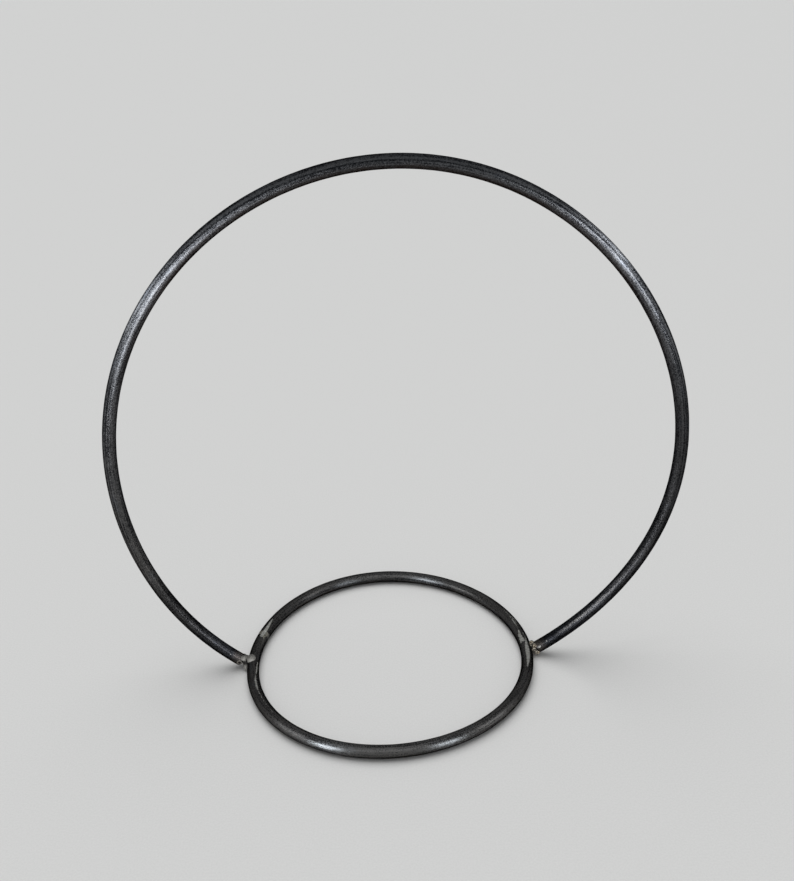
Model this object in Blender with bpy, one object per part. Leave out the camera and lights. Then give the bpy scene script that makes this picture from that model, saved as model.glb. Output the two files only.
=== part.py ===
"""Tabletop wreath stand: an open upright hoop of round steel bar on a smaller ring that lies flat.

Metres, +Z up. The hoop stands in a plane parallel to XZ and faces -Y. Its two ends butt against the
left and right sides of the base ring, and a weld holds each. The base ring is one bar bent round, and
a third weld closes it. The origin is on the table, in the middle of the stand's footprint.
"""
import math

import bmesh
import bpy
from mathutils import Vector

INCH = 0.0254

# Bar stock: hot-rolled round, with its scale
BAR_DIAMETER = 0.0084
BAR_RADIUS = BAR_DIAMETER / 2
BAR_SIDES = 16

# Rings are rolled by hand, so each is a circle with a few shallow lobes:
# (number of lobes, depth of a lobe, direction of one lobe)
HOOP_RADIUS = 14 * INCH / 2
HOOP_LOBES = (
    (2, 0.0040, math.radians(66)),
    (3, 0.00175, math.radians(-7.5)),
    (4, 0.0009, math.radians(-16)),
)
BASE_RADIUS = 0.0926
BASE_LOBES = ((3, 0.0011, math.radians(-17)),)

# Where the hoop stands, from the middle of the base ring
HOOP_SHIFT = 0.0086
HOOP_CENTRE_HEIGHT = 0.1521

# The base ring's closing weld, measured round from the right-hand joint
SEAM_ANGLE = math.radians(164)
SEAM_GAP = 0.0024

# The footprint's middle, from the middle of the base ring
FOOTPRINT_MIDDLE = Vector((0.0102, 0.0009, 0))

# Touching pieces keep this much air between them
CLEARANCE = 0.0003

HOOP_SEGMENTS = 112
BASE_SEGMENTS = 84
JOINT_SEGMENTS = 8
JOINT_REACH = math.radians(14)

# The base ring rests on the flats of its faceted bar
BASE_HEIGHT = BAR_RADIUS * math.cos(math.pi / BAR_SIDES)
FLAT_UNDERNEATH = math.pi / BAR_SIDES

# Weld beads: each lump is (outward, back, up) from the joint's root, then its three half sizes
LEFT_LUMPS = (
    ((0.0000, 0.0000, 0.0008), (0.0042, 0.0050, 0.0044)),
    ((-0.0046, -0.0026, 0.0040), (0.0030, 0.0030, 0.0020)),
    ((0.0014, -0.0012, 0.0044), (0.0032, 0.0027, 0.0020)),
    ((-0.0010, -0.0050, 0.0010), (0.0024, 0.0022, 0.0034)),
)
RIGHT_LUMPS = (
    ((0.0000, 0.0000, 0.0006), (0.0037, 0.0048, 0.0042)),
    ((0.0014, -0.0016, 0.0038), (0.0029, 0.0028, 0.0020)),
    ((-0.0014, 0.0022, 0.0036), (0.0024, 0.0026, 0.0017)),
)

MILL_SCALE = (0.085, 0.09, 0.1)
WELD_GREY = (0.3, 0.3, 0.29)
GROUND_STEEL = (0.42, 0.42, 0.4)


def clear_scene():
    for old_object in list(bpy.data.objects):
        bpy.data.objects.remove(old_object)


def new_collection(name):
    collection = bpy.data.collections.new(name)
    bpy.context.scene.collection.children.link(collection)
    return collection


def steel(name, colour, roughness):
    material = bpy.data.materials.new(name)
    material.use_nodes = True
    shader = material.node_tree.nodes["Principled BSDF"]
    shader.inputs["Base Color"].default_value = (*colour, 1)
    shader.inputs["Metallic"].default_value = 0.9
    shader.inputs["Roughness"].default_value = roughness
    return material


def lobed_radius(radius, lobes, angle):
    """Radius of a hand-rolled ring in one direction."""
    return radius + sum(depth * math.cos(count * (angle - towards)) for count, depth, towards in lobes)


def hoop_point(angle):
    """Centreline of the upright hoop; the angle turns from +X up towards +Z."""
    radius = lobed_radius(HOOP_RADIUS, HOOP_LOBES, angle)
    across = HOOP_SHIFT + radius * math.cos(angle)
    return Vector((across, 0, HOOP_CENTRE_HEIGHT + radius * math.sin(angle)))


def base_point(angle):
    """Centreline of the base ring; the angle turns from +X back towards +Y."""
    radius = lobed_radius(BASE_RADIUS, BASE_LOBES, angle)
    return Vector((radius * math.cos(angle), radius * math.sin(angle), BASE_HEIGHT))


def hoop_end_angle(first_guess):
    """Where the hoop comes down to the height of the base ring's bar, by Newton's steps."""
    angle = first_guess
    for _ in range(8):
        too_high = hoop_point(angle).z - BAR_RADIUS
        angle -= too_high / (HOOP_RADIUS * math.cos(angle))
    return angle


def points_between(point_at, start, end, segments):
    return [point_at(start + (end - start) * step / segments) for step in range(segments + 1)]


def bent_bar(name, points, radius, collection, tilt=0.0, twist_mode="MINIMUM"):
    """A round bar along the points, as a curve with closed ends."""
    curve = bpy.data.curves.new(name, "CURVE")
    curve.dimensions = "3D"
    curve.twist_mode = twist_mode
    curve.bevel_depth = radius
    curve.bevel_resolution = (BAR_SIDES - 4) // 2
    curve.use_fill_caps = True
    spline = curve.splines.new("POLY")
    spline.points.add(len(points) - 1)
    for spline_point, position in zip(spline.points, points):
        spline_point.co = (*position, 1)
        spline_point.tilt = tilt
    bar = bpy.data.objects.new(name, curve)
    collection.objects.link(bar)
    return bar


def as_mesh(curve_object, collection):
    """Swap a curve object for the same shape as a closed mesh."""
    bpy.context.view_layer.update()
    evaluated = curve_object.evaluated_get(bpy.context.evaluated_depsgraph_get())
    mesh = bpy.data.meshes.new_from_object(evaluated)
    name = curve_object.name
    placement = curve_object.matrix_world.copy()
    bpy.data.objects.remove(curve_object)
    weld = bmesh.new()
    weld.from_mesh(mesh)
    bmesh.ops.remove_doubles(weld, verts=weld.verts, dist=0.00001)
    weld.to_mesh(mesh)
    weld.free()
    mesh_object = bpy.data.objects.new(name, mesh)
    mesh_object.matrix_world = placement
    collection.objects.link(mesh_object)
    return mesh_object


def as_cutter(cutter):
    cutter.hide_render = True
    cutter.display_type = "WIRE"
    return cutter


def add_lump(name, centre, half_sizes, collection):
    """One rounded lump of weld metal."""
    mesh = bpy.data.meshes.new(name)
    ball = bmesh.new()
    bmesh.ops.create_icosphere(ball, subdivisions=3, radius=1.0)
    bmesh.ops.scale(ball, vec=half_sizes, verts=ball.verts)
    ball.to_mesh(mesh)
    ball.free()
    mesh.shade_smooth()
    lump = bpy.data.objects.new(name, mesh)
    lump.location = centre
    collection.objects.link(lump)
    return lump


def add_boolean(target, cutter, operation):
    modifier = target.modifiers.new(cutter.name, "BOOLEAN")
    modifier.operation = operation
    modifier.solver = "EXACT"
    modifier.object = cutter


def joint_weld(name, outward, arm_end, base_side, lumps, cutters, parts, guides):
    """Weld lumps round the root of a butt joint, less room for the two bars."""
    bar_face = base_side + Vector((outward * BAR_RADIUS, 0, 0))
    root = (bar_face + arm_end) / 2
    pieces = []
    for number, (offset, half_sizes) in enumerate(lumps):
        centre = root + Vector((outward * offset[0], offset[1], offset[2]))
        is_root = number == 0
        lump_name = name if is_root else f"{name}_lump_{number}"
        pieces.append(add_lump(lump_name, centre, half_sizes, parts if is_root else guides))
    weld = pieces[0]
    for extra in pieces[1:]:
        add_boolean(weld, as_cutter(extra), "UNION")
    for cutter in cutters:
        add_boolean(weld, cutter, "DIFFERENCE")
    return pieces


def build():
    clear_scene()
    parts = new_collection("wreath_stand")
    guides = new_collection("cutters")

    stand = bpy.data.objects.new("wreath_stand_origin", None)
    stand.location = -FOOTPRINT_MIDDLE
    parts.objects.link(stand)

    right_end = hoop_end_angle(math.radians(-58))
    left_end = hoop_end_angle(math.radians(238))
    hoop = bent_bar(
        "upright_hoop",
        points_between(hoop_point, right_end, left_end, HOOP_SEGMENTS),
        BAR_RADIUS,
        parts,
    )
    hoop.data.materials.append(steel("hoop_mill_scale", MILL_SCALE, 0.42))

    # The base ring's bar runs the long way round, from one side of its closing weld to the other
    half_seam = SEAM_GAP / 2 / BASE_RADIUS
    base = bent_bar(
        "base_ring",
        points_between(base_point, SEAM_ANGLE + half_seam, SEAM_ANGLE + math.tau - half_seam, BASE_SEGMENTS),
        BAR_RADIUS,
        parts,
        tilt=FLAT_UNDERNEATH,
        twist_mode="Z_UP",
    )
    base.data.materials.append(steel("base_mill_scale", MILL_SCALE, 0.45))

    half_bead = (SEAM_GAP / 2 - CLEARANCE) / BASE_RADIUS
    seam_weld = bent_bar(
        "base_seam_weld",
        points_between(base_point, SEAM_ANGLE - half_bead, SEAM_ANGLE + half_bead, 1),
        BAR_RADIUS,
        parts,
        tilt=FLAT_UNDERNEATH,
        twist_mode="Z_UP",
    )
    seam_weld.data.materials.append(steel("seam_ground_steel", GROUND_STEEL, 0.35))

    # A joint's weld is cut back from both bars, and from the table
    air = CLEARANCE / HOOP_RADIUS
    joints = (
        ("left_weld", -1, left_end, left_end + air, left_end - JOINT_REACH, math.pi, LEFT_LUMPS),
        ("right_weld", 1, right_end, right_end - air, right_end + JOINT_REACH, 0.0, RIGHT_LUMPS),
    )
    everything = [hoop, base, seam_weld]
    for name, outward, end, tip, reach, side, lumps in joints:
        arm_room = bent_bar(
            f"{name}_arm_room",
            points_between(hoop_point, tip, reach, JOINT_SEGMENTS),
            BAR_RADIUS + CLEARANCE,
            guides,
        )
        base_room = bent_bar(
            f"{name}_base_room",
            points_between(base_point, side - JOINT_REACH, side + JOINT_REACH, JOINT_SEGMENTS),
            BAR_RADIUS + CLEARANCE,
            guides,
            tilt=FLAT_UNDERNEATH,
            twist_mode="Z_UP",
        )
        rooms = [as_cutter(as_mesh(room, guides)) for room in (arm_room, base_room)]
        pieces = joint_weld(
            name, outward, hoop_point(end), base_point(side), lumps, rooms, parts, guides
        )
        pieces[0].data.materials.append(steel(f"{name}_metal", WELD_GREY, 0.5))
        everything += rooms + pieces

    for piece in everything:
        piece.parent = stand


build()
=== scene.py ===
"""Looks for the tabletop wreath stand: finely modelled bars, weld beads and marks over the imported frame.

Metres, +Z up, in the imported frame's own coordinates. A place on a bar is given by two angles: how far
round the ring it is, and how far round the bar's own section it is. A section angle starts at the side
that faces away from the ring's middle. It then turns through the front of the upright hoop, or through
the top of the base ring, to the side that faces the middle.
"""
import math

import bmesh
import bpy
from mathutils import Matrix, Vector, noise


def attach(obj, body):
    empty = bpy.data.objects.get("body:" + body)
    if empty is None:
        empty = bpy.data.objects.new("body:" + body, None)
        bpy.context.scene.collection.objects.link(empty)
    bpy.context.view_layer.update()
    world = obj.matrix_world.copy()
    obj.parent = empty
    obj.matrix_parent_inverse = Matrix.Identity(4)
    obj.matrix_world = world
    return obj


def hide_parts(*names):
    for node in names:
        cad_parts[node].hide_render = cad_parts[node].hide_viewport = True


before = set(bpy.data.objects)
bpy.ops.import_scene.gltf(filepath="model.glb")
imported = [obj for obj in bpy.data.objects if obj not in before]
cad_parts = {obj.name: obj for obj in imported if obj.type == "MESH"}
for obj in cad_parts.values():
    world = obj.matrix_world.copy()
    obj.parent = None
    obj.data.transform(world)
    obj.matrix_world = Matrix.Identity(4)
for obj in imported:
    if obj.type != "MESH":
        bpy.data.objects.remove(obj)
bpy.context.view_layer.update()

MM = 0.001
INCH = 0.0254

# The rings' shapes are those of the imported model
BAR_RADIUS = 0.0042
BAR_SIDES = 16
HOOP_RADIUS = 14 * INCH / 2
HOOP_LOBES = (
    (2, 0.0040, math.radians(66)),
    (3, 0.00175, math.radians(-7.5)),
    (4, 0.0009, math.radians(-16)),
)
BASE_RADIUS = 0.0926
BASE_LOBES = ((3, 0.0011, math.radians(-17)),)
HOOP_SHIFT = 0.0086
HOOP_CENTRE_HEIGHT = 0.1521
SEAM_ANGLE = 164
SEAM_GAP = 0.0024
FOOTPRINT_MIDDLE = Vector((0.0102, 0.0009, 0))

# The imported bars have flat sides, and the round bars here rest on the table as they do
BASE_HEIGHT = BAR_RADIUS * math.cos(math.pi / BAR_SIDES)
BASE_ROUND = BASE_HEIGHT
HOOP_ROUND = BAR_RADIUS

# Mesh fineness
HOOP_STEPS = 1000
BASE_STEPS = 640
SEAM_STEPS = 150
SECTION_STEPS = 56
LUMP_DIVISIONS = 4
DROP_DIVISIONS = 3
BEAD_VOXEL = 0.2
BEAD_SMOOTHING = 6
TANGENT_STEP = 0.001
NEWTON_STEPS = 8

# A bar's cut end has a small chamfer, and the arc melted back the ends of the hoop
END_CHAMFER = 0.0005
MELT_REACH = 0.0022
MELT_DEPTH = 0.0007

# Rolling leaves shallow ridges along a bar, and scale leaves it slightly uneven
RIDGE_HEIGHT = 0.00006
RIDGE_PER_TURN = 3.4
RIDGE_LENGTH = 0.11
DENT_HEIGHT = 0.00004
DENT_LENGTH = 0.006

# How far the grinder's marks lie below the bar's skin
MARK_DEPTH = 0.00010

# The hoop takes a painted warm reflection from below up to this height, and above it the warmth fades away
# over this distance
WARM_BELOW = 0.08
WARM_FADE = 0.14

# How far from a joint its heat shows, and how far the bar is mottled, in degrees round the hoop
RIGHT_HEAT = 75
LEFT_HEAT = 28
MOTTLED_REACH = 3.2

# A strip of the right arm kept light where a lamp's highlight runs, a painted highlight: middle and half
# width of its turn, its two ends in degrees round the hoop, and over how many degrees it fades in and out
HIGHLIGHT_STRIP_TURN = 134
HIGHLIGHT_STRIP_HALF = 18
HIGHLIGHT_STRIP_FROM = -53
HIGHLIGHT_STRIP_TO = -27
HIGHLIGHT_STRIP_FADE_IN = 6
HIGHLIGHT_STRIP_FADE_OUT = 10

# The smoke missed the lower outer back of an arm: the middle of that side, and the share of dark it lacks
CLEAN_TURN = 306
CLEAN_SHARE = 0.6

# The base ring's closing weld: how many degrees its piece runs to each side of its middle, how many
# millimetres it laps over each end of the bar, and where its middle lies along the bar, in millimetres
SEAM_REACH = 11
SEAM_OVERLAP = 0.5
SEAM_MIDDLE = math.radians(SEAM_ANGLE) * BASE_RADIUS / MM

# It stands just proud inside its ragged outline, and dives below the bar's skin outside it
SEAM_PROUD = 0.00012
SEAM_FLUSH = 0.00004
SEAM_SUNK = 0.00060
SEAM_RISE_PER_MM = 0.0005

# How ragged the outline is: (depth in mm, size in mm, seed). On the ring's outer side it is more so
SEAM_RAGGED = ((0.4, 1.4, 7), (0.25, 0.6, 8))
SEAM_RAGGED_OUTSIDE = (1.5, 1.7, 9)

# Lumps of the two joint welds: (outward, back, up) from the joint's root, then half sizes, in mm
LEFT_LUMPS = (
    ((-0.4, 0.8, -0.3), (3.5, 3.4, 3.5)),
    ((-4.7, -3.1, 3.2), (3.0, 3.6, 3.1)),
    ((-2.0, -1.6, 3.9), (1.6, 1.3, 1.2)),
    ((0.6, -2.3, 3.7), (2.1, 2.0, 1.9)),
    ((-0.9, -5.0, -1.4), (1.8, 2.1, 2.5)),
    ((-0.8, -2.6, 0.2), (2.0, 2.6, 2.2)),
    ((0.9, 3.0, 1.2), (1.5, 1.5, 1.9)),
    ((-1.8, 2.6, -0.9), (1.6, 1.7, 1.9)),
)
RIGHT_LUMPS = (
    ((0.2, 0.0, -0.2), (4.4, 4.0, 3.7)),
    ((1.2, -1.0, 2.7), (2.2, 2.2, 1.8)),
    ((-1.0, 1.6, 3.0), (1.9, 2.0, 1.6)),
    ((-0.2, -3.0, 0.4), (2.0, 1.8, 2.4)),
    ((2.2, -2.0, -0.6), (2.4, 2.2, 2.6)),
)
# How uneven their skin is: (height, size) of each wave, in mm
LEFT_WAVES = ((0.08, 1.6), (0.04, 0.5))
RIGHT_WAVES = ((0.28, 1.1), (0.12, 0.5))
FIRST_WAVE_SEED = 3

# Frozen drops beside each joint: (ring angle, turn, half length, half width, rise), in mm
RIGHT_DROPS = (
    (-57.0, 118, 1.1, 0.75, 0.4),
    (-54.9, 131, 0.4, 0.6, 0.4),
    (-58.4, 96, 0.5, 0.4, 0.3),
)
LEFT_DROPS = ((230.4, 118, 0.45, 0.35, 0.3),)
DROP_UNEVENNESS = 0.18
DROP_WAVE = 0.9

# A ring of drops round a burst bubble on the left end of the hoop: the (ring angle, turn) of its middle,
# its half sizes in the same angles, the number of drops, and one drop's sizes
CRATER_PLACE = (233.1, 92)
CRATER_REACH = (0.45, 19)
CRATER_COUNT = 9
CRATER_DROP = (0.55, 0.45, 0.15)

# Oxide keeps a bar's rim from shining as clean metal would
DULL_RIM = (0.0, 0.0, 0.0)

# How strongly the fine marks along a bar spread a highlight round it
DRAWN = 0.9

# Colours of scaled steel, as a metal reflects them
SCALE_DARK = (0.012, 0.013, 0.016)
SCALE_GREY = (0.106, 0.109, 0.115)
# The brown is also laid on the bars' undersides as painted shade and a painted brown reflection
BROWN_SCALE_AND_UNDERSIDE_SHADE = (0.022, 0.015, 0.012)
ENDS_GREY = (0.115, 0.105, 0.095)

# Tints that are laid over the colour of the scale or of a bead
# Partly the scale's own slight brown, and partly a painted warm reflection from below
WARM_REFLECTION_TINT = (1.06, 1.0, 0.92)
BLUED = (0.86, 1.0, 1.22)
BURNT = (0.15, 0.16, 0.19)
BEAD_GOLD = (1.25, 0.98, 0.62)

# Ground steel, and the closing weld where the disc only touched it or missed it
BARE_STEEL = (0.80, 0.80, 0.76)
BARE_SHADE = (0.38, 0.375, 0.34)
BARE_ROUGHNESS = 0.46
WELD_DULL = (0.31, 0.295, 0.255)
WELD_SCALED = (0.13, 0.128, 0.122)

# Weld metal in a joint
# Painted shade laid in a bead's hollows
HOLLOW_SHADE = (0.012, 0.011, 0.010)
BEAD_METALLIC = 0.2

# Grain of the materials: repeats in a metre along a bar and across it, or in all three directions
STREAKS = (22, 1000, 1000)
FIBRES = (110, 2600, 2600)
SPECKLE = (1300, 1300, 1300)
BLOTCHES = (60, 170, 170)
BAND_WANDER = (14, 90, 90)
SCRATCHES = (2600, 300, 300)
GROUND_MOTTLE = (500, 700, 700)
BEAD_PATCHES = (520, 520, 520)
PAPER_TOOTH = (900, 900, 900)

# Most of a grain's values lie in this span
GRAIN_LOW = 0.3
GRAIN_HIGH = 0.7

# Lighter and darker bands that run along a bar: (turn in the section, tone)
HOOP_BANDS = (
    (0, 0.34), (34, 0.32), (46, 0.85), (56, 0.62), (67, 0.06), (77, 0.66), (86, 0.24),
    (98, 0.66), (112, 0.52), (126, 0.54), (140, 0.30), (185, 0.34), (240, 0.45), (300, 0.30), (360, 0.34),
)
BASE_BANDS = (
    (0, 0.64), (20, 0.88), (40, 0.92), (58, 0.50), (70, 0.66), (88, 0.60), (104, 0.80),
    (122, 0.62), (146, 0.64), (165, 0.34), (190, 0.24), (240, 0.40), (300, 0.56), (360, 0.60),
)

# Floor and light
FLOOR_RADIUS = 25.0
FLOOR_SIDES = 96
FLOOR_PALE = (0.78, 0.78, 0.77)
FLOOR_ROUGHNESS = 0.9
SKY_PALE = (0.80, 0.81, 0.82)
SKY_STRENGTH = 0.45
OVERHEAD_STRENGTH = 1.55
OVERHEAD_SPREAD = math.radians(60)
OVERHEAD_TILT = (math.radians(-22), math.radians(-8), 0)
LAMPS_AIM = (0, 0, 0.12)
DAYLIGHT = (0.96, 0.98, 1.0)
COOL_DAYLIGHT = (0.82, 0.91, 1.0)

# Camera: its lens and sensor are in millimetres
LENS_LENGTH = 40.86266
SENSOR = 36.0
NEAREST_SEEN = 0.01
CAMERA_PLACE = Vector((-0.00629, -0.54722, 0.43775))
CAMERA_YAW = -0.01212
CAMERA_PITCH = -0.46089
CAMERA_ROLL = 0.03505


# ---------------------------------------------------------------- shapes of the two rings

def lobed_radius(radius, lobes, angle):
    return radius + sum(depth * math.cos(count * (angle - towards)) for count, depth, towards in lobes)


def hoop_point(angle):
    radius = lobed_radius(HOOP_RADIUS, HOOP_LOBES, angle)
    across = HOOP_SHIFT + radius * math.cos(angle)
    place = Vector((across, 0, HOOP_CENTRE_HEIGHT + radius * math.sin(angle)))
    return place - FOOTPRINT_MIDDLE


def base_point(angle):
    radius = lobed_radius(BASE_RADIUS, BASE_LOBES, angle)
    place = Vector((radius * math.cos(angle), radius * math.sin(angle), BASE_HEIGHT))
    return place - FOOTPRINT_MIDDLE


def hoop_end_angle(first_guess):
    """Where the hoop comes down to the height of the base ring's bar, by Newton's steps."""
    angle = first_guess
    for _ in range(NEWTON_STEPS):
        too_high = hoop_point(angle).z - BAR_RADIUS
        angle -= too_high / (HOOP_RADIUS * math.cos(angle))
    return angle


def length_of(point_at, start, end, steps):
    def place(step):
        return point_at(start + (end - start) * step / steps)

    return sum((place(step + 1) - place(step)).length for step in range(steps))


class Ring:
    """One bent bar: a centreline and the two directions that span its section."""

    def __init__(self, point_at, side, bar_radius):
        self.point_at = point_at
        self.side = Vector(side)
        self.bar_radius = bar_radius

    def section(self, angle):
        """The bar's middle, the way it runs, and the way out from the ring's middle."""
        ahead = self.point_at(angle + TANGENT_STEP)
        behind = self.point_at(angle - TANGENT_STEP)
        tangent = (ahead - behind).normalized()
        outward = tangent.cross(self.side).normalized()
        if outward.dot(self.point_at(angle) - self.point_at(angle + math.pi)) < 0:
            outward.negate()
        return self.point_at(angle), tangent, outward

    def surface(self, angle, turn):
        """A point on the bar, and the direction straight out of the bar there."""
        centre, _, outward = self.section(angle)
        away = outward * math.cos(turn) + self.side * math.sin(turn)
        return centre + away * self.bar_radius, away


hoop = Ring(hoop_point, (0, -1, 0), HOOP_ROUND)
base = Ring(base_point, (0, 0, 1), BASE_ROUND)
right_end = hoop_end_angle(math.radians(-58))
left_end = hoop_end_angle(math.radians(238))
hoop_length = length_of(hoop_point, right_end, left_end, HOOP_STEPS)


# ---------------------------------------------------------------- marks on the bars

def share_of(value):
    """A value held between 0 and 1."""
    return max(0.0, min(1.0, value))


def flat_place(angle, turn):
    """Angles in degrees to millimetres along the base ring and round its bar."""
    return Vector((math.radians(angle) * BASE_RADIUS / MM, math.radians(turn) * BAR_RADIUS / MM))


def inside_stroke(place, strokes):
    """How deep a place lies inside the nearest stroke, in millimetres; negative outside."""
    depths = []
    for start, end, start_width, end_width in strokes:
        along = end - start
        share = share_of((place - start).dot(along) / along.length_squared)
        half_width = start_width + (end_width - start_width) * share
        depths.append(half_width - (place - start - along * share).length)
    return max(depths)


def strokes_from(rows):
    """Rows of (angle, turn, half width in mm), joined one after another into strokes."""
    strokes = []
    for row in rows:
        for (angle_a, turn_a, width_a), (angle_b, turn_b, width_b) in zip(row, row[1:]):
            strokes.append((flat_place(angle_a, turn_a), flat_place(angle_b, turn_b), width_a, width_b))
    return strokes


# Bare steel where the grinder took the scale off the base ring
GROUND_MARKS = strokes_from((
    ((-14.6, 84, 0.7), (-9.0, 84, 1.25), (-3.0, 86, 1.25), (0.6, 84, 0.8)),
    ((0.5, 84, 0.6), (4.0, 74, 0.5), (8.5, 79, 0.3)),
    ((2.5, 106, 1.4), (6.5, 116, 1.2), (9.6, 103, 0.6)),
    ((1.5, 130, 0.7), (4.5, 126, 0.9)),
    ((11.0, 100, 0.35), (17.0, 94, 0.35), (25.0, 90, 0.15)),
    ((10.0, 84, 0.25), (16.0, 72, 0.3), (26.5, 78, 0.15)),
))

# Arc strikes and spatter smears beside the left joint
SMEAR_MARKS = strokes_from((
    ((184.0, 138, 0.35), (189.0, 131, 0.45), (192.5, 117, 0.4), (195.0, 107, 0.35)),
    ((195.0, 107, 0.35), (198.5, 101, 0.4), (201.0, 98, 0.35), (206.0, 95, 0.3), (218.0, 92, 0.15)),
))

# The closing weld's outline: first the part that the disc ground bright, then the duller rest
SEAM_BRIGHT = strokes_from((
    ((154.0, 90, 0.5), (158.5, 100, 1.0), (161.0, 104, 1.3), (164.0, 102, 1.5), (166.5, 98, 1.3)),
))
SEAM_MARKS = SEAM_BRIGHT + strokes_from((
    ((166.5, 108, 1.0), (166.0, 130, 0.8), (164.0, 150, 0.5), (163.0, 166, 0.3)),
    ((167.0, 122, 0.8), (168.0, 137, 0.7), (170.5, 140, 0.6), (172.5, 138, 0.35)),
))


def hoop_warm_reflection(angle, _):
    """The hoop's lower ends take more of the painted warm reflection from below than its top."""
    height = hoop_point(math.radians(angle)).z
    return share_of(1.0 - (height - WARM_BELOW) / WARM_FADE)


def hoop_burnt(angle, turn):
    """Near a joint the weld's heat and smoke have darkened the scale, except along a strip kept light as a
    painted highlight.
    """
    from_right = (angle - math.degrees(right_end)) / RIGHT_HEAT
    from_left = (math.degrees(left_end) - angle) / LEFT_HEAT
    burnt = math.sqrt(max(0.0, 1.0 - min(from_right, from_left)))
    # Along the highlight strip the darkening is lifted: a painted highlight
    from_strip_ends = share_of(min((angle - HIGHLIGHT_STRIP_FROM) / HIGHLIGHT_STRIP_FADE_IN, (HIGHLIGHT_STRIP_TO - angle) / HIGHLIGHT_STRIP_FADE_OUT))
    highlight_strip = max(0.0, 1.0 - abs(turn - HIGHLIGHT_STRIP_TURN) / HIGHLIGHT_STRIP_HALF) * from_strip_ends
    clean = CLEAN_SHARE * max(0.0, math.cos(math.radians(turn - CLEAN_TURN)))
    return burnt * (1 - highlight_strip) * (1 - clean)


def hoop_near_end(angle, _):
    """Right beside a joint the scale is gone and the bar is mottled."""
    from_end = min(angle - math.degrees(right_end), math.degrees(left_end) - angle)
    return max(0.0, 1.0 - from_end / MOTTLED_REACH)


def base_warm_reflection(*_):
    """The whole base ring is low enough to take the full painted warm reflection from below."""
    return 1.0


def base_bare(angle, turn):
    """How deep a place lies inside the ground marks and smears, in millimetres."""
    degrees = angle % 360
    near_right = degrees - 360 if degrees > 270 else degrees
    return max(
        inside_stroke(flat_place(near_right, turn), GROUND_MARKS),
        inside_stroke(flat_place(degrees, turn), SMEAR_MARKS),
    )


def seam_brightness(angle, turn):
    return inside_stroke(flat_place(angle, turn), SEAM_BRIGHT)


# ---------------------------------------------------------------- relief of the bars' skin, in metres

def rough(place, scale, seed):
    """Smooth noise from -1 to 1 whose features are about one scale apart."""
    return noise.noise(Vector(place) / scale + Vector((seed * 17.3, seed * 5.1, seed * 9.7)))


def bar_relief(along, turn, seed):
    """Shallow rolling ridges that run along a bar, and slight dents in the scale."""
    ridge_place = (along / RIDGE_LENGTH, math.cos(turn) * RIDGE_PER_TURN, math.sin(turn) * RIDGE_PER_TURN)
    dent_place = (along, math.cos(turn) * BAR_RADIUS, math.sin(turn) * BAR_RADIUS)
    return RIDGE_HEIGHT * rough(ridge_place, 1, seed) + DENT_HEIGHT * rough(dent_place, DENT_LENGTH, seed + 1)


def hoop_relief(_, turn, along):
    """The hoop's relief, drawn in a little at both ends, where the arc melted its edge."""
    from_end = min(along, hoop_length - along)
    melt = max(0.0, 1.0 - from_end / MELT_REACH)
    return bar_relief(along, turn, seed=2) - MELT_DEPTH * melt * melt


def base_relief(angle, turn, along):
    """The base ring's relief, a little lower where the grinder has been."""
    degrees = (math.degrees(angle) + 180) % 360 - 180
    depth = share_of(inside_stroke(flat_place(degrees, math.degrees(turn)), GROUND_MARKS))
    return bar_relief(along, turn, seed=5) - MARK_DEPTH * depth


def seam_relief(angle, turn, _):
    """The closing weld's relief: its ground patches, and a band that fills the gap all round the bar."""
    place = flat_place(math.degrees(angle), math.degrees(turn))
    ragged = sum(depth * rough((place.x, place.y, 0), size, seed) for depth, size, seed in SEAM_RAGGED)
    patch = inside_stroke(place, SEAM_MARKS) + ragged
    depth, size, seed = SEAM_RAGGED_OUTSIDE
    outer_side = max(0.0, math.cos(turn))
    ragged += depth * outer_side * rough((place.x, 2 * BAR_RADIUS / MM * math.sin(turn), 0), size, seed)
    gap = SEAM_GAP / MM / 2 + SEAM_OVERLAP - abs(place.x - SEAM_MIDDLE) + ragged
    patch_rise = max(-SEAM_SUNK, min(SEAM_PROUD, patch * SEAM_RISE_PER_MM))
    gap_rise = max(-SEAM_SUNK, min(SEAM_FLUSH, gap * SEAM_RISE_PER_MM))
    return max(patch_rise, gap_rise) + RIDGE_HEIGHT - SEAM_PROUD


# ---------------------------------------------------------------- mesh making

def new_object(name, mesh):
    new = bpy.data.objects.new(name, mesh)
    bpy.context.scene.collection.objects.link(new)
    return new


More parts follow.
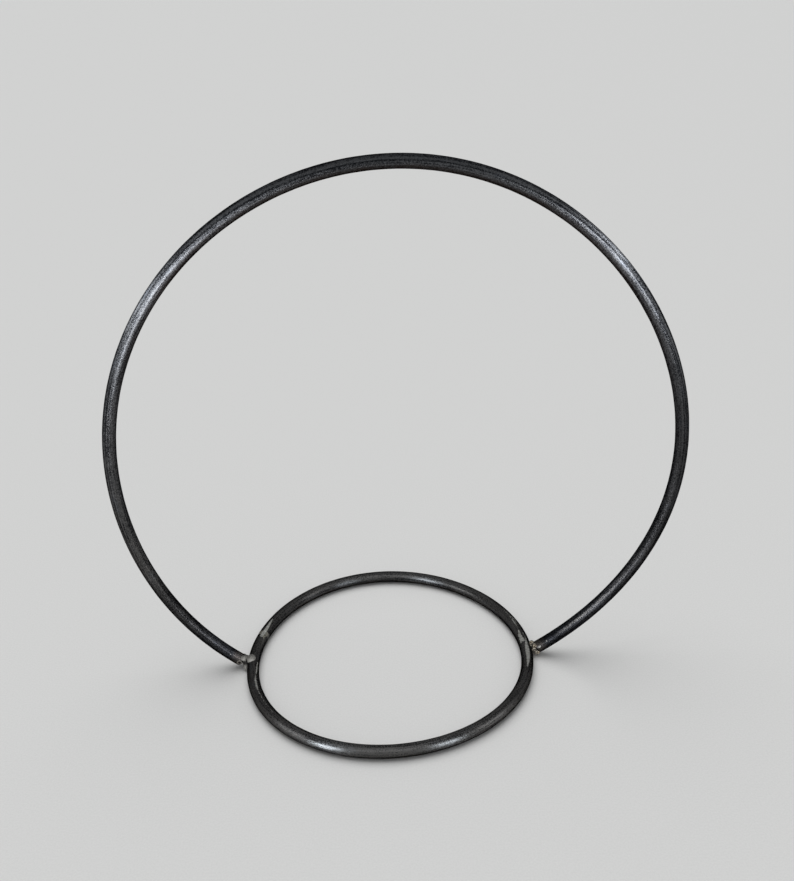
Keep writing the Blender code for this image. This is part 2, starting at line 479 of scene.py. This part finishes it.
def swept_bar(name, ring, start, end, steps, relief):
    """A round bar with capped, chamfered ends. Its mesh carries the bar's straightened coordinates."""
    mesh = bpy.data.meshes.new(name)
    shell = bmesh.new()
    space = shell.verts.layers.float_vector.new("bar_space")
    ring_angle = shell.verts.layers.float.new("ring_angle")
    facing_up = shell.verts.layers.float.new("facing_up")
    unrolled = shell.loops.layers.uv.new("unrolled")
    rows = []
    along = 0.0
    previous = None
    for step in range(steps + 1):
        angle = start + (end - start) * step / steps
        centre, _, outward = ring.section(angle)
        if previous is not None:
            along += (centre - previous).length
        previous = centre
        chamfer = END_CHAMFER if step in (0, steps) else 0
        row = []
        for part in range(SECTION_STEPS):
            turn = math.tau * part / SECTION_STEPS
            away = outward * math.cos(turn) + ring.side * math.sin(turn)
            radius = ring.bar_radius + min(0.0, relief(angle, turn, along) - RIDGE_HEIGHT)
            vertex = shell.verts.new(centre + away * (radius - chamfer))
            vertex[space] = (along, math.cos(turn) * radius, math.sin(turn) * radius)
            vertex[ring_angle] = math.degrees(angle)
            vertex[facing_up] = away.z
            row.append(vertex)
        rows.append(row)
    for step, (row, next_row) in enumerate(zip(rows, rows[1:])):
        for part in range(SECTION_STEPS):
            after = (part + 1) % SECTION_STEPS
            face = shell.faces.new((row[part], row[after], next_row[after], next_row[part]))
            for loop, (across, ahead) in zip(face.loops, ((0, 0), (1, 0), (1, 1), (0, 1))):
                loop[unrolled].uv = ((part + across) / SECTION_STEPS, (step + ahead) / steps)
    for row in (rows[0], rows[-1]):
        shell.faces.new(row)
    bmesh.ops.recalc_face_normals(shell, faces=shell.faces)
    shell.to_mesh(mesh)
    shell.free()
    mesh.shade_smooth()
    return new_object(name, mesh)


def write_mark(piece, name, value_at):
    """Store one number for each vertex, worked out from its ring angle and its turn in the section."""
    mesh = piece.data
    spaces = mesh.attributes["bar_space"].data
    angles = mesh.attributes["ring_angle"].data
    values = []
    for space, angle in zip(spaces, angles):
        turn = math.degrees(math.atan2(space.vector.z, space.vector.y)) % 360
        values.append(value_at(angle.value, turn))
    mesh.attributes.new(name, "FLOAT", "POINT").data.foreach_set("value", values)


def melted(name, root, outward, lumps, waves):
    """Rounded lumps run together into one bead of weld metal, with an uneven skin.

    The bead is made in millimetres and shrunk at the end, which keeps the remesh exact.
    """
    mesh = bpy.data.meshes.new(name)
    bead = bmesh.new()
    for offset, half_sizes in lumps:
        centre = Vector((outward * offset[0], offset[1], offset[2]))
        place = Matrix.Translation(centre) @ Matrix.Diagonal((*half_sizes, 1))
        bmesh.ops.create_icosphere(bead, subdivisions=LUMP_DIVISIONS, radius=1.0, matrix=place)
    bead.to_mesh(mesh)
    bead.free()
    rough_piece = new_object(name + "_lumps", mesh)
    remesh = rough_piece.modifiers.new("union", "REMESH")
    remesh.mode = "VOXEL"
    remesh.voxel_size = BEAD_VOXEL
    smooth = rough_piece.modifiers.new("melt", "SMOOTH")
    smooth.factor = 0.5
    smooth.iterations = BEAD_SMOOTHING
    bpy.context.view_layer.update()
    evaluated = rough_piece.evaluated_get(bpy.context.evaluated_depsgraph_get())
    metal = bpy.data.meshes.new_from_object(evaluated)
    bpy.data.objects.remove(rough_piece)
    metal.name = name
    normals = [vertex.normal.copy() for vertex in metal.vertices]
    for vertex, normal in zip(metal.vertices, normals):
        rise = sum(
            height * rough(vertex.co, size, seed)
            for seed, (height, size) in enumerate(waves, start=FIRST_WAVE_SEED)
        )
        vertex.co = root + (vertex.co + normal * rise) * MM
    metal.shade_smooth()
    return new_object(name, metal)


def spatter(name, ring, drops, seed):
    """Small frozen drops on a bar."""
    mesh = bpy.data.meshes.new(name)
    drops_mesh = bmesh.new()
    for number, (angle, turn, length, width, rise) in enumerate(drops):
        spot, away = ring.surface(math.radians(angle), math.radians(turn))
        _, tangent, _ = ring.section(math.radians(angle))
        across = away.cross(tangent)
        turned = Matrix((tangent, across, away)).transposed().to_4x4()
        sizes = Matrix.Diagonal((length * MM, width * MM, rise * MM, 1))
        made = bmesh.ops.create_icosphere(drops_mesh, subdivisions=DROP_DIVISIONS, radius=1.0)
        for vertex in made["verts"]:
            vertex.co *= 1 + DROP_UNEVENNESS * rough(vertex.co, DROP_WAVE, seed + number)
            vertex.co = Matrix.Translation(spot) @ turned @ sizes @ vertex.co
    drops_mesh.to_mesh(mesh)
    drops_mesh.free()
    mesh.shade_smooth()
    return new_object(name, mesh)


def crater_drops():
    drops = []
    for number in range(CRATER_COUNT):
        way = math.tau * number / CRATER_COUNT
        angle = CRATER_PLACE[0] + CRATER_REACH[0] * math.cos(way)
        turn = CRATER_PLACE[1] + CRATER_REACH[1] * math.sin(way)
        drops.append((angle, turn, *CRATER_DROP))
    return drops


# ---------------------------------------------------------------- materials

class Shader:
    """A material's node tree, with short calls for the nodes used here."""

    def __init__(self, name):
        self.material = bpy.data.materials.new(name)
        self.material.use_nodes = True
        self.tree = self.material.node_tree
        self.surface = self.tree.nodes["Principled BSDF"]

    def add(self, kind, **settings):
        node = self.tree.nodes.new(kind)
        for name, value in settings.items():
            setattr(node, name, value)
        return node

    def put(self, socket, value):
        """Feed a socket from another node, or with a constant."""
        if isinstance(value, bpy.types.NodeSocket):
            self.tree.links.new(value, socket)
        else:
            socket.default_value = value

    def bar_place(self):
        return self.add("ShaderNodeAttribute", attribute_name="bar_space").outputs["Vector"]

    def stored(self, name):
        return self.add("ShaderNodeAttribute", attribute_name=name).outputs["Fac"]

    def object_place(self):
        return self.add("ShaderNodeTexCoord").outputs["Object"]

    def grain(self, vector, repeats, detail=2.0, roughness=0.5):
        mapping = self.add("ShaderNodeMapping")
        self.put(mapping.inputs["Vector"], vector)
        mapping.inputs["Scale"].default_value = repeats
        texture = self.add("ShaderNodeTexNoise")
        self.put(texture.inputs["Vector"], mapping.outputs["Vector"])
        texture.inputs["Scale"].default_value = 1.0
        texture.inputs["Detail"].default_value = detail
        texture.inputs["Roughness"].default_value = roughness
        return texture.outputs["Fac"]

    def spread(self, value, low, high, to_low=0.0, to_high=1.0):
        """Stretch the part of a value between low and high over a new span."""
        node = self.add("ShaderNodeMapRange", interpolation_type="SMOOTHSTEP")
        self.put(node.inputs["Value"], value)
        node.inputs["From Min"].default_value = low
        node.inputs["From Max"].default_value = high
        node.inputs["To Min"].default_value = to_low
        node.inputs["To Max"].default_value = to_high
        return node.outputs["Result"]

    def swing(self, grain, to_low, to_high):
        """Stretch a grain's usual span over a new one."""
        return self.spread(grain, GRAIN_LOW, GRAIN_HIGH, to_low, to_high)

    def calc(self, first, second, operation="ADD"):
        node = self.add("ShaderNodeMath", operation=operation)
        self.put(node.inputs[0], first)
        self.put(node.inputs[1], second)
        return node.outputs[0]

    def blend(self, share, first, second, kind="MIX"):
        """A colour that goes from first to second as share goes from 0 to 1."""
        node = self.add("ShaderNodeMix", data_type="RGBA", blend_type=kind)
        self.put(node.inputs["Factor"], share)
        for socket, colour in ((node.inputs[6], first), (node.inputs[7], second)):
            self.put(socket, colour if isinstance(colour, bpy.types.NodeSocket) else (*colour, 1))
        return node.outputs[2]

    def tinted(self, share, colour, tint):
        """A colour that takes on a tint as share goes from 0 to 1."""
        return self.blend(share, colour, self.blend(1.0, colour, tint, "MULTIPLY"))

    def pick(self, share, first, second):
        """A number that goes from first to second as share goes from 0 to 1."""
        node = self.add("ShaderNodeMix", data_type="FLOAT")
        self.put(node.inputs["Factor"], share)
        self.put(node.inputs[2], first)
        self.put(node.inputs[3], second)
        return node.outputs[0]

    def bumps(self, layers):
        """Layers of (height from 0 to 1, depth in metres), laid one over another."""
        normal = None
        for height, depth in layers:
            bump = self.add("ShaderNodeBump")
            self.put(bump.inputs["Height"], height)
            bump.inputs["Strength"].default_value = 1.0
            bump.inputs["Distance"].default_value = depth
            if normal is not None:
                self.put(bump.inputs["Normal"], normal)
            normal = bump.outputs["Normal"]
        return normal

    def finish(self, colour, roughness, normal, is_metal=True):
        self.put(self.surface.inputs["Base Color"], colour)
        self.put(self.surface.inputs["Roughness"], roughness)
        self.put(self.surface.inputs["Normal"], normal)
        if is_metal:
            self.surface.inputs["Metallic"].default_value = 1.0
            self.surface.inputs["Specular Tint"].default_value = (*DULL_RIM, 1)
        return self.material

    def drawn_lengthways(self):
        """Fine drawing marks run along the bar, so that a highlight spreads round it."""
        round_bar = self.add("ShaderNodeTangent", direction_type="UV_MAP", uv_map="unrolled")
        self.put(self.surface.inputs["Tangent"], round_bar.outputs["Tangent"])
        self.surface.inputs["Anisotropic"].default_value = DRAWN


def rolled_bands(shader, place, bands):
    """Tone of the rolling bands: it hangs on the turn in the section, and wanders a little along the bar."""
    parts = shader.add("ShaderNodeSeparateXYZ")
    shader.put(parts.inputs[0], place)
    turn = shader.calc(parts.outputs["Z"], parts.outputs["Y"], "ARCTAN2")
    share = shader.calc(shader.calc(turn, 1 / math.tau, "MULTIPLY"), 1.0)
    wander = shader.spread(shader.grain(place, BAND_WANDER), 0.2, 0.8, -0.03, 0.03)
    share = shader.calc(shader.calc(share, wander), 1.0, "FLOORED_MODULO")
    ramp = shader.add("ShaderNodeValToRGB")
    stops = ramp.color_ramp.elements
    stops[0].position = 0.0
    stops[1].position = 1.0
    for turn_degrees, _ in bands[1:-1]:
        stops.new(turn_degrees / 360)
    for stop, (_, tone) in zip(stops, bands):
        stop.color = (tone, tone, tone, 1)
    shader.put(ramp.inputs["Fac"], share)
    return ramp.outputs["Color"]


def scratched_steel(shader, scratches):
    """Steel laid bare by a grinding disc, with its scratches across the bar."""
    return shader.blend(shader.spread(scratches, 0.35, 0.65), BARE_SHADE, BARE_STEEL)


def heat_marks(shader, _, speckle, blotches, colour, roughness):
    """What the joints' heat did to the hoop: it burnt the scale dark, and took it off right beside them."""
    colour = shader.tinted(shader.stored("burnt"), colour, BURNT)
    mottled = shader.calc(shader.stored("near_end"), shader.spread(blotches, 0.35, 0.6), "MULTIPLY")
    colour = shader.blend(mottled, colour, shader.blend(speckle, BROWN_SCALE_AND_UNDERSIDE_SHADE, ENDS_GREY))
    return colour, roughness


def ground_marks(shader, place, speckle, blotches, colour, roughness):
    """What the grinder and the spatter did to the base ring: patches and streaks of bare steel."""
    ragged = shader.calc(shader.swing(speckle, -0.28, 0.28), shader.swing(blotches, -0.28, 0.28))
    bare = shader.spread(shader.calc(shader.stored("bare"), ragged), -0.15, 0.35)
    colour = shader.blend(bare, colour, scratched_steel(shader, shader.grain(place, SCRATCHES)))
    return colour, shader.pick(bare, roughness, BARE_ROUGHNESS)


def mill_scale(name, bands, add_marks):
    """Dark hot-rolled steel: bands along the bar, fine fibres, and a grain that breaks up the shine."""
    shader = Shader(name)
    place = shader.bar_place()
    streaks = shader.grain(place, STREAKS, detail=3.0)
    fibres = shader.grain(place, FIBRES, detail=3.0)
    speckle = shader.grain(place, SPECKLE, detail=3.0, roughness=0.65)
    blotches = shader.grain(place, BLOTCHES, detail=3.0, roughness=0.55)

    tone = rolled_bands(shader, place, bands)
    swings = ((streaks, -0.26, 0.26), (fibres, -0.16, 0.16), (speckle, -0.44, 0.52), (blotches, -0.14, 0.14))
    for grain, darkest, lightest in swings:
        tone = shader.calc(tone, shader.swing(grain, darkest, lightest))
    colour = shader.blend(tone, SCALE_DARK, SCALE_GREY)

    # Painted shade and a painted brown reflection: sides that face down are darker and browner, in blotches
    facing_down = shader.spread(shader.stored("facing_up"), 0.15, -0.75)
    painted_underside_shade = shader.calc(facing_down, shader.spread(blotches, 0.3, 0.65, 0.5, 0.95), "MULTIPLY")
    colour = shader.blend(painted_underside_shade, colour, BROWN_SCALE_AND_UNDERSIDE_SHADE)
    colour = shader.tinted(shader.spread(blotches, 0.55, 0.75, 0.0, 0.3), colour, BLUED)
    # Painted warm reflection from below, strongest on the lowest parts
    colour = shader.tinted(shader.stored("warm_reflection"), colour, WARM_REFLECTION_TINT)
    roughness = shader.calc(shader.swing(streaks, 0.23, 0.31), shader.swing(speckle, -0.04, 0.12))
    colour, roughness = add_marks(shader, place, speckle, blotches, colour, roughness)

    shader.drawn_lengthways()
    normal = shader.bumps(((fibres, 0.00005), (speckle, 0.00008), (blotches, 0.00005)))
    return shader.finish(colour, roughness, normal)


def ground_steel(name):
    """The closing weld: ground steel with cross scratches and darker hollows, dull away from the disc."""
    shader = Shader(name)
    place = shader.bar_place()
    scratches = shader.grain(place, SCRATCHES)
    mottle = shader.grain(place, GROUND_MOTTLE, detail=3.0, roughness=0.6)
    bright = shader.stored("polished")
    colour = shader.blend(shader.spread(bright, -0.1, 0.5), WELD_DULL, scratched_steel(shader, scratches))
    colour = shader.blend(shader.spread(shader.calc(bright, mottle), -2.4, -0.9), WELD_SCALED, colour)
    colour = shader.blend(shader.spread(mottle, 0.52, 0.72, 0.0, 0.6), colour, SCALE_GREY)
    normal = shader.bumps(((scratches, 0.00002), (mottle, 0.00005)))
    return shader.finish(colour, shader.swing(mottle, 0.4, 0.52), normal)


class Metal:
    """How one weld's metal looks, and where the painted shade of its hollows lies: (outward, back, up,
    radius) in mm.
    """

    def __init__(self, pale, shade, gold_share, speckle_size, pale_from, hollows=()):
        self.pale = pale
        self.shade = shade
        self.gold_share = gold_share
        self.speckle_size = speckle_size
        self.pale_from = pale_from
        self.hollows = hollows


LEFT_METAL = Metal(
    pale=(0.23, 0.223, 0.205),
    shade=(0.125, 0.12, 0.11),
    gold_share=0.0,
    speckle_size=0.0012,
    pale_from=0.34,
    hollows=((-2.2, -3.9, 1.3, 2.3), (-0.2, -4.2, 0.9, 1.9), (1.8, -2.9, 0.6, 1.8)),
)
RIGHT_METAL = Metal(
    pale=(0.60, 0.55, 0.46),
    shade=(0.026, 0.022, 0.018),
    gold_share=0.35,
    speckle_size=0.0008,
    pale_from=0.475,
    hollows=((-0.6, -3.4, 0.4, 2.2), (-2.0, -2.6, 1.6, 1.4)),
)
DROP_METAL = Metal(
    pale=(0.34, 0.34, 0.33),
    shade=(0.18, 0.18, 0.17),
    gold_share=0.1,
    speckle_size=0.0006,
    pale_from=0.34,
)
CRATER_METAL = Metal(
    pale=(0.12, 0.11, 0.095),
    shade=(0.06, 0.055, 0.048),
    gold_share=0.1,
    speckle_size=0.0006,
    pale_from=0.34,
)


def bead_metal(name, metal):
    """Weld metal: grey, with painted shade in its hollows, and here and there tinted gold."""
    shader = Shader(name)
    place = shader.object_place()
    fine = 1 / metal.speckle_size
    speckle = shader.grain(place, (fine, fine, fine), detail=3.0, roughness=0.6)
    patches = shader.grain(place, BEAD_PATCHES)
    colour = shader.blend(shader.spread(speckle, metal.pale_from, 0.64), metal.shade, metal.pale)
    gold = shader.calc(shader.spread(patches, 0.42, 0.6), metal.gold_share, "MULTIPLY")
    colour = shader.tinted(gold, colour, BEAD_GOLD)
    # Painted shade: darker towards the middle of each hollow
    colour = shader.blend(shader.spread(shader.stored("depth"), 0.1, 0.45), colour, HOLLOW_SHADE)
    normal = shader.bumps(((speckle, 0.00006), (patches, 0.0001)))
    shader.finish(colour, shader.swing(speckle, 0.5, 0.62), normal, is_metal=False)
    shader.surface.inputs["Metallic"].default_value = BEAD_METALLIC
    return shader.material


# ---------------------------------------------------------------- the stand

hoop_bar = swept_bar("hoop_bar", hoop, right_end, left_end, HOOP_STEPS, hoop_relief)
hoop_bar.data.materials.append(mill_scale("hoop_mill_scale", HOOP_BANDS, heat_marks))
write_mark(hoop_bar, "warm_reflection", hoop_warm_reflection)
write_mark(hoop_bar, "burnt", hoop_burnt)
write_mark(hoop_bar, "near_end", hoop_near_end)
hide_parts("upright_hoop")

# The base ring's bar runs the long way round, from one side of its closing weld to the other
half_seam = SEAM_GAP / 2 / BASE_RADIUS
seam = math.radians(SEAM_ANGLE)
base_bar = swept_bar("base_bar", base, seam + half_seam, seam + math.tau - half_seam, BASE_STEPS, base_relief)
write_mark(base_bar, "bare", base_bare)
write_mark(base_bar, "warm_reflection", base_warm_reflection)
base_bar.data.materials.append(mill_scale("base_mill_scale", BASE_BANDS, ground_marks))
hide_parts("base_ring")

half_weld = math.radians(SEAM_REACH)
seam_bead = swept_bar("seam_bead", base, seam - half_weld, seam + half_weld, SEAM_STEPS, seam_relief)
write_mark(seam_bead, "polished", seam_brightness)
seam_bead.data.materials.append(ground_steel("seam_ground_steel"))
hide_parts("base_seam_weld")


def joint_bead(name, node, outward, arm_end, side, lumps, waves, metal):
    """The weld where one end of the hoop meets one side of the base ring."""
    bar_face = base_point(side) + Vector((outward * BAR_RADIUS, 0, 0))
    root = (bar_face + hoop_point(arm_end)) / 2
    bead = melted(name, root, outward, lumps, waves)
    # How deep each vertex lies in a hollow, for the painted shade there
    depths = []
    for vertex in bead.data.vertices:
        offset = (vertex.co - root) / MM
        depth = 0.0
        for out, back, up, radius in metal.hollows:
            from_middle = (offset - Vector((outward * out, back, up))).length
            depth = max(depth, 1.0 - from_middle / radius)
        depths.append(depth)
    bead.data.attributes.new("depth", "FLOAT", "POINT").data.foreach_set("value", depths)
    bead.data.materials.append(bead_metal(name + "_metal", metal))
    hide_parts(node)
    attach(bead, "root")
    return bead


beads = (
    joint_bead("left_bead", "left_weld", -1, left_end, math.pi, LEFT_LUMPS, LEFT_WAVES, LEFT_METAL),
    joint_bead("right_bead", "right_weld", 1, right_end, 0.0, RIGHT_LUMPS, RIGHT_WAVES, RIGHT_METAL),
)

left_drops = spatter("left_spatter", hoop, LEFT_DROPS, seed=11)
left_crater = spatter("left_crater", hoop, crater_drops(), seed=14)
right_drops = spatter("right_spatter", hoop, RIGHT_DROPS, seed=31)
for drops, metal in ((left_drops, DROP_METAL), (left_crater, CRATER_METAL), (right_drops, DROP_METAL)):
    drops.data.materials.append(bead_metal(drops.name + "_metal", metal))

for piece in (hoop_bar, base_bar, seam_bead, left_drops, left_crater, right_drops):
    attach(piece, "root")


# ---------------------------------------------------------------- floor, light and camera

def plain_floor():
    mesh = bpy.data.meshes.new("floor")
    disc = bmesh.new()
    bmesh.ops.create_circle(disc, cap_ends=True, segments=FLOOR_SIDES, radius=FLOOR_RADIUS)
    disc.to_mesh(mesh)
    disc.free()
    floor = new_object("floor", mesh)
    shader = Shader("floor_paper")
    tooth = shader.grain(shader.object_place(), PAPER_TOOTH)
    tone = shader.spread(tooth, 0.2, 0.8, 0.97, 1.03)
    colour = shader.blend(1.0, FLOOR_PALE, tone, kind="MULTIPLY")
    normal = shader.bumps(((tooth, 0.00002),))
    mesh.materials.append(shader.finish(colour, FLOOR_ROUGHNESS, normal, is_metal=False))
    return floor


def lit_group(name, pieces):
    """A set of pieces that a lamp is kept to."""
    group = bpy.data.collections.new(name)
    for piece in pieces:
        group.objects.link(piece)
    return group


def place_lamp(name, lamp, lit):
    holder = bpy.data.objects.new(name, lamp)
    holder.light_linking.receiver_collection = lit
    bpy.context.scene.collection.objects.link(holder)
    return holder


def soft_box(name, place, size, watts, tint, lit):
    lamp = bpy.data.lights.new(name, "AREA")
    lamp.shape = "RECTANGLE"
    lamp.size, lamp.size_y = size
    lamp.energy = watts
    lamp.color = tint
    holder = place_lamp(name, lamp, lit)
    holder.location = place
    holder.rotation_euler = (Vector(LAMPS_AIM) - Vector(place)).to_track_quat("-Z", "Y").to_euler()
    holder.visible_camera = False


floor = plain_floor()
upright_part = lit_group("upright_part", (hoop_bar, left_drops, left_crater, right_drops, *beads))
flat_part = lit_group("flat_part", (base_bar, seam_bead))
hoop_only = lit_group("hoop_only", (hoop_bar,))
floor_part = lit_group("floor_part", (floor,))

# Every lamp but the overhead one lights the stand alone, so that the floor stays even:
# (name, place, size, watts, tint, what it lights)
LAMPS = (
    ("left_window", (-0.22, -0.57, 0.06), (0.08, 0.10), 2.4, DAYLIGHT, upright_part),
    ("right_window", (0.38, -0.60, 0.18), (0.07, 0.10), 3.2, DAYLIGHT, upright_part),
    ("left_window_on_base", (-0.43, -0.48, 0.21), (0.10, 0.16), 3.2, COOL_DAYLIGHT, flat_part),
    ("right_window_on_base", (0.44, -0.60, 0.23), (0.08, 0.16), 2.0, COOL_DAYLIGHT, flat_part),
    ("left_side", (-0.71, 0.0, 0.40), (0.16, 0.16), 0.9, DAYLIGHT, hoop_only),
    ("right_side", (0.67, -0.02, 0.52), (0.08, 0.08), 1.3, DAYLIGHT, hoop_only),
    ("low_side", (-0.46, -0.46, 0.26), (0.07, 0.07), 1.15, DAYLIGHT, hoop_only),
    ("left_fill_on_base", (-0.80, -0.25, 0.45), (0.35, 0.35), 1.7, DAYLIGHT, flat_part),
    ("right_fill_on_base", (0.80, -0.25, 0.45), (0.35, 0.35), 1.3, DAYLIGHT, flat_part),
    ("ceiling_on_base", (0.0, -0.70, 1.0), (1.0, 0.6), 3.2, DAYLIGHT, flat_part),
)
for name, place, size, watts, tint, lit in LAMPS:
    soft_box(name, place, size, watts, tint, lit)

overhead = bpy.data.lights.new("overhead", "SUN")
overhead.energy = OVERHEAD_STRENGTH
overhead.angle = OVERHEAD_SPREAD
place_lamp("overhead", overhead, floor_part).rotation_euler = OVERHEAD_TILT

world = bpy.data.worlds.new("studio")
world.use_nodes = True
world.node_tree.nodes["Background"].inputs["Color"].default_value = (*SKY_PALE, 1)
world.node_tree.nodes["Background"].inputs["Strength"].default_value = SKY_STRENGTH
bpy.context.scene.world = world
bpy.context.scene.view_settings.view_transform = "Standard"

lens = bpy.data.cameras.new("camera")
lens.sensor_width = SENSOR
lens.lens = LENS_LENGTH
lens.clip_start = NEAREST_SEEN
camera = bpy.data.objects.new("camera", lens)
camera.matrix_world = (
    Matrix.Translation(CAMERA_PLACE)
    @ Matrix.Rotation(CAMERA_YAW, 4, "Z")
    @ Matrix.Rotation(math.pi / 2 + CAMERA_PITCH, 4, "X")
    @ Matrix.Rotation(-CAMERA_ROLL, 4, "Z")
)
bpy.context.scene.collection.objects.link(camera)
bpy.context.scene.camera = camera
